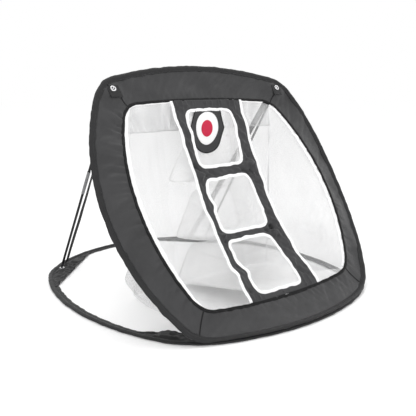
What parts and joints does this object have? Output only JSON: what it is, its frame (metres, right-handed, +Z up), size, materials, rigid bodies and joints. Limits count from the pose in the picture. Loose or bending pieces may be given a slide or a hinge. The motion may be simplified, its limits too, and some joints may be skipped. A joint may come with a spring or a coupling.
{
  "type": "golf chipping net",
  "caption": "Free-standing pop-up golf chipping net: sprung face hoop with ball pockets, bullseye flap and mesh bag, leaning back on folding poles above a sprung base hoop.",
  "frame": {"origin": "centre of the ground footprint, on the ground under the base hoop", "axes": "+Z up, -Y towards the golfer, the way the face looks, +X to the right of someone who faces +Y"},
  "size_m": [0.802, 0.889, 0.5941],
  "materials": {
    "spring_steel": "bright drawn wire, hidden in the sleeve",
    "nickel": "bright nickel plate",
    "white_binding": "matt woven tape",
    "black_binding": "matt woven tape",
    "netting": "fine open mesh",
    "hem_cloth": "matt woven nylon",
    "webbing": "matt woven webbing",
    "glass_fibre": "semi-gloss pultruded rod",
    "ferrule_metal": "satin drawn tube",
    "shock_cord": "braided elastic cord",
    "black_plastic": "fine grained moulding",
    "white_cloth": "matt woven nylon",
    "red_cloth": "matt woven nylon",
    "nylon": "matt plain-weave nylon"
  },
  "bodies": {
    "base": {"base_hoop_wire": "spring_steel", "base_hoop_crimp": "nickel", "base_hem_front": "hem_cloth", "base_hem_right": "hem_cloth", "base_hem_rear": "hem_cloth", "base_hem_left": "hem_cloth", "base_gusset_rear_right": "nylon", "base_gusset_rear_left": "nylon", "base_gusset_front_right": "nylon", "base_gusset_front_left": "nylon", "base_grommet_left": "nickel", "base_grommet_right": "nickel"},
    "face": {"face_hoop_wire": "spring_steel", "face_hoop_crimp": "nickel", "face_hem_bottom": "hem_cloth", "face_hem_right": "hem_cloth", "face_hem_top": "hem_cloth", "face_hem_left": "hem_cloth", "face_border_bottom": "nylon", "face_border_right": "nylon", "face_border_top": "nylon", "face_border_left": "nylon", "inner_binding": "black_binding", "opening_binding_left": "white_binding", "opening_binding_right": "white_binding", "center_band": "nylon", "pocket_binding_top": "white_binding", "pocket_binding_middle": "white_binding", "pocket_binding_bottom": "white_binding", "pocket_net_top": "netting", "pocket_net_middle": "netting", "pocket_net_bottom": "netting", "net_back": "netting", "net_floor": "netting", "net_side_right": "netting", "net_side_left": "netting", "corner_patch_left": "hem_cloth", "corner_patch_right": "hem_cloth", "face_grommet_left": "nickel", "face_grommet_right": "nickel", "pole_tip_left": "black_plastic", "pole_tip_right": "black_plastic", "support_strap_left": "webbing", "support_strap_right": "webbing"},
    "flap": {"bullseye_flap": "nylon", "bullseye_ring": "white_cloth", "bullseye_center": "red_cloth"},
    "pole_left": {"pole_foot_left": "black_plastic", "pole_lower_left": "glass_fibre", "pole_upper_left": "glass_fibre", "pole_ferrule_left": "ferrule_metal", "pole_cap_left": "black_plastic", "shock_cord_left": "shock_cord"},
    "pole_right": {"pole_foot_right": "black_plastic", "pole_lower_right": "glass_fibre", "pole_upper_right": "glass_fibre", "pole_ferrule_right": "ferrule_metal", "pole_cap_right": "black_plastic", "shock_cord_right": "shock_cord"}
  },
  "joints": [
    {"name": "face_fold", "type": "hinge", "parent": "base", "child": "face", "pos_m": [0, -0.3745, 0.0105], "axis": [-1, 0, 0], "range_deg": [0, 48], "deforming": ["net_back", "net_floor", "net_side_right", "net_side_left", "pocket_net_middle", "pocket_net_bottom", "support_strap_left", "support_strap_right"]},
    {"name": "pole_left_swing", "type": "hinge", "parent": "base", "child": "pole_left", "pos_m": [-0.275, 0.3065, 0.0092], "axis": [-1, 0, 0], "range_deg": [0, 115.2]},
    {"name": "pole_right_swing", "type": "hinge", "parent": "base", "child": "pole_right", "pos_m": [0.275, 0.3065, 0.0092], "axis": [-1, 0, 0], "range_deg": [0, 115.2]},
    {"name": "flap_swing", "type": "hinge", "parent": "face", "child": "flap", "pos_m": [0, -0.04767, 0.48131], "axis": [1, 0, 0], "range_deg": [-25, 55], "deforming": ["pocket_net_top"]}
  ],
  "couplings": [
    {"joint": "pole_left_swing", "follows": "face_fold", "ratio": 2.4},
    {"joint": "pole_right_swing", "follows": "face_fold", "ratio": 2.4}
  ]
}
